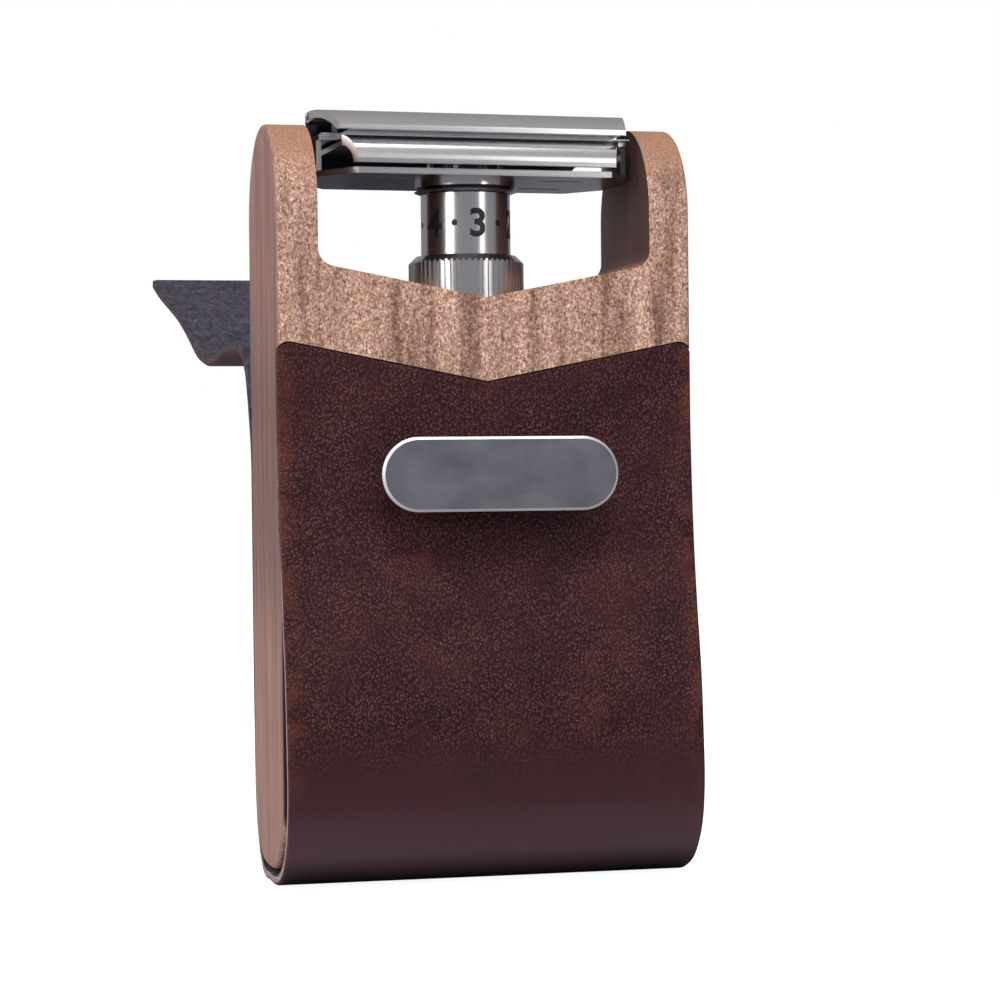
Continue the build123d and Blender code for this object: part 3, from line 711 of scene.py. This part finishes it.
def make_tab(name, start, end):
    """The flap's last run, with a slot open at its tip."""
    middle = hinge_at[-1] + SLOT_END_FROM_HINGE
    low = middle - SLOT_HALF_WIDTH
    near = edge_steps()
    arc = [middle - SLOT_HALF_WIDTH * math.sin(math.radians(a)) for a in range(0, 91, 6)]
    corner = [end - TAB_CORNER * (1 - math.sin(math.radians(a))) for a in range(0, 90, 15)]
    stations = spaced(start, low - SLOT_CLEARANCE, ROW_STEP) + [low - d for d in near[1:]]
    stations += [low - SLOT_ROW] + arc
    stations += spaced(middle, end - TIP_CLEARANCE, ROW_STEP)[1:] + corner + [end - d for d in near]
    stations = sorted(stations)
    stations = [s for s, after in zip(stations, stations[1:]) if after - s > LEAST_ROW_GAP] + [end]
    side = near + TAB_LINES
    rim = near + SLOT_LINES

    def outline(s):
        """Half the tab's width at a station."""
        past = max(0.0, s - (end - TAB_CORNER))
        return HALF_WIDTH - TAB_CORNER + math.sqrt(max(0.0, TAB_CORNER ** 2 - past ** 2))

    def hole(s):
        """Half the slot's width at a station, 0 before it starts."""
        if s >= middle:
            return SLOT_HALF_WIDTH
        return math.sqrt(max(0.0, SLOT_HALF_WIDTH ** 2 - (middle - s) ** 2))

    def right_half(s):
        wide, inner = outline(s), hole(s)
        first, last = wide - side[-1], inner + rim[-1]
        between = [first + (last - first) * k / TAB_COLUMNS for k in range(1, TAB_COLUMNS)]
        return [wide - d for d in side] + between + [inner + d for d in reversed(rim)]

    def away(x, s):
        """Distance to the nearest cut edge, the side, the end or the slot."""
        past, over = s - (end - TAB_CORNER), abs(x) - (HALF_WIDTH - TAB_CORNER)
        edge = min(HALF_WIDTH - abs(x), end - s)
        if past > 0 and over > 0:
            edge = TAB_CORNER - math.hypot(past, over)
        slot = abs(x) - SLOT_HALF_WIDTH if s >= middle else math.hypot(x, s - middle) - SLOT_HALF_WIDTH
        return max(0.0, min(edge, slot))

    table = []
    for s in stations:
        half = right_half(s)
        table.append([-x for x in half] + list(reversed(half)))
    count = len(table[0])

    def place(i, j):
        return table[i][j], stations[i], away(table[i][j], stations[i])

    def kept(i, j):
        return j != count // 2 - 1 or stations[i + 1] <= low + LEAST_ROW_GAP / 4

    return strip_mesh(name, flap_route, len(stations), count, place, kept)


for index, (before, after, y, z) in enumerate(FLAP_HINGES):
    start, end = cuts[index], cuts[index + 1]
    make = make_tab if after == "flap_tab" else make_run
    piece = make(f"{after}_leather", start, end)
    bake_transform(piece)
    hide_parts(after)


# ---- The dial's figures ----


def glyph(text):
    """A figure's flat mesh, centred, of the figures' height, as a bmesh in millimetres."""
    data = bpy.data.curves.new("glyph", "FONT")
    data.body = text
    data.offset = FIGURE_WEIGHT
    data.resolution_u = FIGURE_SMOOTHNESS
    shown = bpy.data.objects.new("glyph", data)
    mesh = bpy.data.meshes.new_from_object(shown)
    work = bmesh.new()
    work.from_mesh(mesh)
    bpy.data.objects.remove(shown)
    bpy.data.curves.remove(data)
    bpy.data.meshes.remove(mesh)
    xs = [v.co.x for v in work.verts]
    ys = [v.co.y for v in work.verts]
    scale = FIGURE_HEIGHT / (max(ys) - min(ys))
    for v in work.verts:
        v.co.x = (v.co.x - (max(xs) + min(xs)) / 2) * scale
        v.co.y = (v.co.y - (max(ys) + min(ys)) / 2) * scale
        v.co.z = 0.0
    return work


def wrap_round(work, angle, height, radius):
    """Cut a flat figure into upright slices and lay it round the barrel, facing out at that angle."""
    for k in range(-SLICES, SLICES + 1):
        bmesh.ops.bisect_plane(
            work, geom=work.verts[:] + work.edges[:] + work.faces[:],
            plane_co=(k * SLICE_WIDTH, 0, 0), plane_no=(1, 0, 0),
        )
    made = bmesh.ops.extrude_face_region(work, geom=work.faces[:])
    back = {e for e in made["geom"] if isinstance(e, bmesh.types.BMVert)}
    for v in work.verts:
        v.co.z = radius - PAINT_DEPTH if v in back else radius + PAINT_PROUD
    for v in work.verts:
        turn = angle + v.co.x / radius
        v.co = Vector((v.co.z * math.cos(turn), v.co.z * math.sin(turn), height + v.co.y)) * MM
    bmesh.ops.recalc_face_normals(work, faces=work.faces)


def make_figures():
    """Figures 1 to 6 and the dots between them, as one piece of paint."""
    low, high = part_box("dial_barrel")
    radius = (high.x - low.x) / 2 / MM
    whole = bmesh.new()
    scratch = bpy.data.meshes.new("scratch")
    for step in range(DIAL_STEPS):
        angle = -math.pi / 2 + RAZOR_TURN - 2 * math.pi / DIAL_STEPS * (step - FRONT_STEP)
        if step % 2:
            work = bmesh.new()
            bmesh.ops.create_circle(work, cap_ends=True, segments=DOT_SIDES, radius=DOT_RADIUS)
        else:
            work = glyph(str(step // 2 + 1))
        wrap_round(work, angle, FIGURE_Z, radius)
        work.to_mesh(scratch)
        work.free()
        whole.from_mesh(scratch)
    mesh = bpy.data.meshes.new("dial_figures")
    whole.to_mesh(mesh)
    whole.free()
    bpy.data.meshes.remove(scratch)
    mesh.materials.append(dial_paint())
    piece = bpy.data.objects.new("dial_figures", mesh)
    bpy.context.scene.collection.objects.link(piece)
    return piece


figures = make_figures()
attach(figures, "dial")


# ---- Floor, light and camera ----


FLOOR_HALF = 8.0
FLOOR_GLOW = 0.93


def make_floor():
    """A pale floor. It looks evenly white, and only a dim share of its light reaches the object."""
    mesh = bpy.data.meshes.new("floor")
    corners = [(-1, -1), (1, -1), (1, 1), (-1, 1)]
    mesh.from_pydata([(x * FLOOR_HALF, y * FLOOR_HALF, 0) for x, y in corners], [], [(0, 1, 2, 3)])
    made, tree, shader = material("floor", Base_Color=(0.5, 0.5, 0.5, 1.0), Roughness=1.0)
    shader.inputs["Specular IOR Level"].default_value = 0.0
    path = tree.nodes.new("ShaderNodeLightPath")
    glow = tree.nodes.new("ShaderNodeEmission")
    glow.inputs["Color"].default_value = (1.0, 1.0, 1.0, 1.0)
    glow.inputs["Strength"].default_value = FLOOR_GLOW
    both = tree.nodes.new("ShaderNodeAddShader")
    tree.links.new(shader.outputs[0], both.inputs[0])
    tree.links.new(glow.outputs[0], both.inputs[1])
    dim = tree.nodes.new("ShaderNodeBsdfDiffuse")
    dim.inputs["Color"].default_value = (0.42, 0.42, 0.44, 1.0)
    mix = tree.nodes.new("ShaderNodeMixShader")
    tree.links.new(path.outputs["Is Camera Ray"], mix.inputs[0])
    tree.links.new(dim.outputs[0], mix.inputs[1])
    tree.links.new(both.outputs[0], mix.inputs[2])
    tree.links.new(mix.outputs[0], tree.nodes["Material Output"].inputs["Surface"])
    mesh.materials.append(made)
    floor = bpy.data.objects.new("floor", mesh)
    bpy.context.scene.collection.objects.link(floor)


def make_world():
    """White to the camera, and a soft grey room that is brighter overhead to everything else."""
    world = bpy.data.worlds.new("studio")
    bpy.context.scene.world = world
    world.use_nodes = True
    tree = world.node_tree
    tree.nodes.clear()
    out = tree.nodes.new("ShaderNodeOutputWorld")
    seen = tree.nodes.new("ShaderNodeBackground")
    seen.inputs["Color"].default_value = (1.0, 1.0, 1.0, 1.0)
    room = tree.nodes.new("ShaderNodeBackground")
    where = tree.nodes.new("ShaderNodeTexCoord")
    up = parts_of(tree, where.outputs["Generated"])[2]
    height = math_node(tree, "ADD", math_node(tree, "MULTIPLY", up, 0.5), 0.5)
    shade = ramp(tree, height, [
        (0.48, (0.05, 0.05, 0.055)), (0.50, (0.24, 0.235, 0.255)),
        (0.75, (0.30, 0.295, 0.31)), (1.0, (0.42, 0.41, 0.42)),
    ])
    tree.links.new(shade, room.inputs["Color"])
    path = tree.nodes.new("ShaderNodeLightPath")
    mix = tree.nodes.new("ShaderNodeMixShader")
    tree.links.new(path.outputs["Is Camera Ray"], mix.inputs[0])
    tree.links.new(room.outputs[0], mix.inputs[1])
    tree.links.new(seen.outputs[0], mix.inputs[2])
    tree.links.new(mix.outputs[0], out.inputs[0])


CAMERA_PLACE = Vector((-84.41, -375.48, 53.57)) * MM
CAMERA_YAW = 0.2323
CAMERA_PITCH = -0.0073
CAMERA_ROLL = -0.0108
CAMERA_LENS = 101.4


def make_camera():
    data = bpy.data.cameras.new("camera")
    data.sensor_width = 36.0
    data.lens = CAMERA_LENS
    data.clip_start = 0.01
    data.clip_end = 30.0
    camera = bpy.data.objects.new("camera", data)
    ahead = Vector((math.sin(CAMERA_YAW) * math.cos(CAMERA_PITCH),
                    math.cos(CAMERA_YAW) * math.cos(CAMERA_PITCH), math.sin(CAMERA_PITCH)))
    level = Vector((math.cos(CAMERA_YAW), -math.sin(CAMERA_YAW), 0.0))
    upward = level.cross(ahead)
    right = level * math.cos(CAMERA_ROLL) + upward * math.sin(CAMERA_ROLL)
    top = upward * math.cos(CAMERA_ROLL) - level * math.sin(CAMERA_ROLL)
    camera.matrix_world = Matrix((
        (right.x, top.x, -ahead.x, CAMERA_PLACE.x),
        (right.y, top.y, -ahead.y, CAMERA_PLACE.y),
        (right.z, top.z, -ahead.z, CAMERA_PLACE.z),
        (0, 0, 0, 1),
    ))
    bpy.context.scene.collection.objects.link(camera)
    bpy.context.scene.camera = camera


def softbox(name, azimuth, distance, low, high, width, radiance):
    """An upright panel of light facing the object. Azimuth is from the camera's direction, to the right."""
    turn = math.radians(azimuth) - CAMERA_YAW
    outward = Vector((math.sin(turn), -math.cos(turn), 0.0))
    middle = Vector((0.0, 0.0, (low + high) / 2))
    panel(name, outward * distance + middle, outward, width, high - low, radiance)


def panel(name, place, back, width, height, radiance):
    """A panel of light. Its back points away from what it lights."""
    data = bpy.data.lights.new(name, "AREA")
    data.shape = "RECTANGLE"
    data.size = width
    data.size_y = height
    data.energy = radiance * math.pi * width * height
    lamp = bpy.data.objects.new(name, data)
    lamp.location = place
    lamp.rotation_mode = "QUATERNION"
    lamp.rotation_quaternion = back.to_track_quat("Z", "Y")
    lamp.visible_camera = False
    bpy.context.scene.collection.objects.link(lamp)


make_floor()
make_world()
make_camera()
softbox("left_box", -40.0, 0.75, 0.13, 0.75, 0.24, 4.2)
softbox("right_box", 44.0, 0.75, 0.13, 0.75, 0.14, 3.0)
softbox("far_left", -95.0, 0.9, 0.0, 0.7, 0.5, 2.2)
for name, place, back, width, height, radiance in (
    ("front_high", (-0.14, -0.66, 0.86), (-0.14, -0.66, 0.80), 0.42, 0.36, 11.0),
    ("overhead", (0.0, -0.05, 1.0), (0.0, -0.05, 0.9), 0.5, 0.4, 3.0),
):
    panel(name, Vector(place), Vector(back).normalized(), width, height, radiance)
bpy.context.scene.view_settings.view_transform = "Standard"
